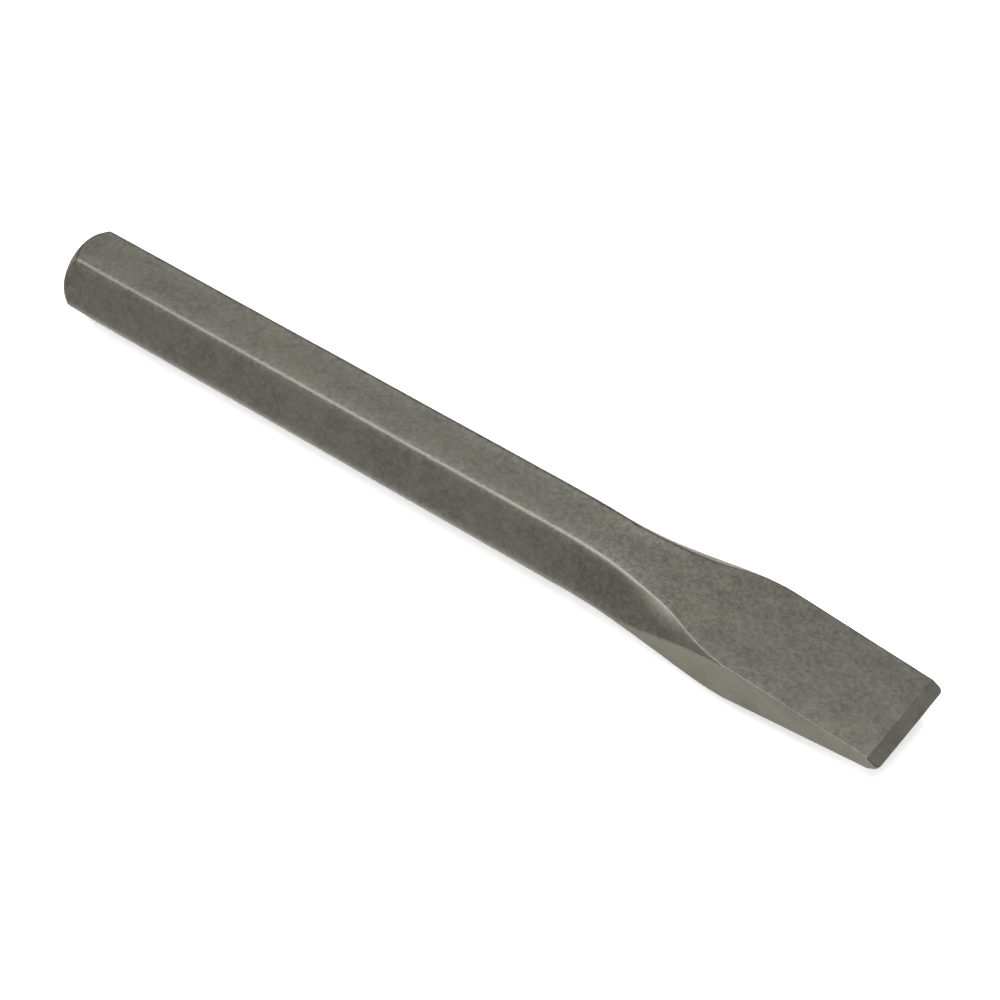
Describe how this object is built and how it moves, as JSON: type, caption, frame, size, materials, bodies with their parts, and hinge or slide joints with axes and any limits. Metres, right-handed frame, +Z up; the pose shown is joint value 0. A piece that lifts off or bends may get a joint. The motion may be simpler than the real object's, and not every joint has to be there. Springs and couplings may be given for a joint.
{
  "type": "flat cold chisel",
  "caption": "Flat chisel forged from hexagonal bar, with a turned struck end, a flared wedge-shaped blade and a double-bevelled cutting edge.",
  "frame": {"origin": "On the surface the chisel lies on, under the middle of its length and width.", "axes": "+X runs from the struck end to the cutting edge. +Z is up, square to the bar flat that it lies on. The cutting edge runs along Y."},
  "size_m": [0.25, 0.0272, 0.022],
  "materials": {
    "forged_steel": "satin"
  },
  "bodies": {
    "root": {"chisel": "forged_steel"}
  },
  "joints": []
}
